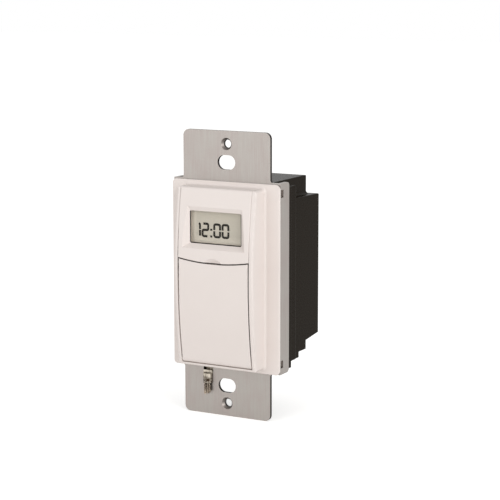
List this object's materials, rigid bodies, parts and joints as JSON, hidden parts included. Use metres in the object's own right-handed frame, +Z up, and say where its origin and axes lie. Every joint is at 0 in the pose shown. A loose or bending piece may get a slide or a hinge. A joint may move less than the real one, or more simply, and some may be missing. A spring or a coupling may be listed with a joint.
{
  "type": "timer light switch",
  "caption": "In-wall digital timer light switch: steel mounting strap, crowned white face with display window, hinged door over push keys, and a stepped black rear housing.",
  "frame": {"origin": "centre of the strap's back face, midway between the two wall-plate screw holes, on the wall plane", "axes": "+X to the right as seen from the room, +Y into the wall, +Z up"},
  "size_m": [0.0448, 0.0442, 0.1064],
  "materials": {
    "white_plastic": "moulded, fine satin",
    "zinc_steel": "zinc plated sheet",
    "crimp_metal": "tinned brass, dull",
    "copper": "bare copper",
    "clear_lens": "clear polished plastic",
    "lcd_grey": "reflective liquid crystal cell",
    "contact_rubber": "layered conductive rubber",
    "grey_plastic": "matt moulded",
    "black_plastic": "satin moulded",
    "board": "green solder mask",
    "plated_steel": "nickel plated",
    "brass": "plain",
    "film_yellow": "moulded or lacquered"
  },
  "bodies": {
    "switch_body": {"bezel": "white_plastic", "display_panel": "white_plastic", "key_panel": "white_plastic", "lcd_holder": "white_plastic", "battery_drawer": "white_plastic", "yoke": "zinc_steel", "ground_crimp": "crimp_metal", "ground_strands": "copper", "display_window": "clear_lens", "lcd_glass": "lcd_grey", "zebra_strips": "contact_rubber", "tact_switches": "grey_plastic", "relay": "grey_plastic", "fuse_resistor": "grey_plastic", "lead_grommets": "grey_plastic", "rear_housing": "black_plastic", "divider": "black_plastic", "battery_holder": "black_plastic", "header_base": "black_plastic", "microcontroller": "black_plastic", "diodes": "black_plastic", "filter_capacitor": "black_plastic", "control_board": "board", "power_board": "board", "coin_cell": "plated_steel", "crystal": "plated_steel", "housing_screws": "plated_steel", "battery_contacts": "brass", "header_pins": "brass", "lead_terminals": "brass", "film_capacitor": "film_yellow", "varistor": "film_yellow"},
    "door_leaf": {"door": "white_plastic"},
    "on_off_key": {"on_off_button": "grey_plastic", "on_off_plunger": "black_plastic"},
    "mode_key": {"mode_button": "grey_plastic", "mode_plunger": "black_plastic"},
    "enter_key": {"enter_button": "grey_plastic", "enter_plunger": "black_plastic"},
    "plus_key": {"plus_button": "grey_plastic", "plus_plunger": "black_plastic"},
    "minus_key": {"minus_button": "grey_plastic", "minus_plunger": "black_plastic"},
    "reset_key": {"reset_button": "grey_plastic", "reset_plunger": "black_plastic"}
  },
  "joints": [
    {"name": "door_hinge", "type": "hinge", "parent": "switch_body", "child": "door_leaf", "pos_m": [0, -0.00789, -0.03095], "axis": [1, 0, 0], "range_deg": [-0.7, 80]},
    {"name": "on_off_press", "type": "slide", "parent": "switch_body", "child": "on_off_key", "axis": [0, 1, 0], "range_m": [0, 0.0004], "stiffness_N_per_m": 300},
    {"name": "mode_press", "type": "slide", "parent": "switch_body", "child": "mode_key", "axis": [0, 1, 0], "range_m": [0, 0.0004], "stiffness_N_per_m": 300},
    {"name": "enter_press", "type": "slide", "parent": "switch_body", "child": "enter_key", "axis": [0, 1, 0], "range_m": [0, 0.0004], "stiffness_N_per_m": 300},
    {"name": "plus_press", "type": "slide", "parent": "switch_body", "child": "plus_key", "axis": [0, 1, 0], "range_m": [0, 0.0004], "stiffness_N_per_m": 300},
    {"name": "minus_press", "type": "slide", "parent": "switch_body", "child": "minus_key", "axis": [0, 1, 0], "range_m": [0, 0.0004], "stiffness_N_per_m": 300},
    {"name": "reset_press", "type": "slide", "parent": "switch_body", "child": "reset_key", "axis": [0, 1, 0], "range_m": [0, 0.0004], "stiffness_N_per_m": 300}
  ]
}
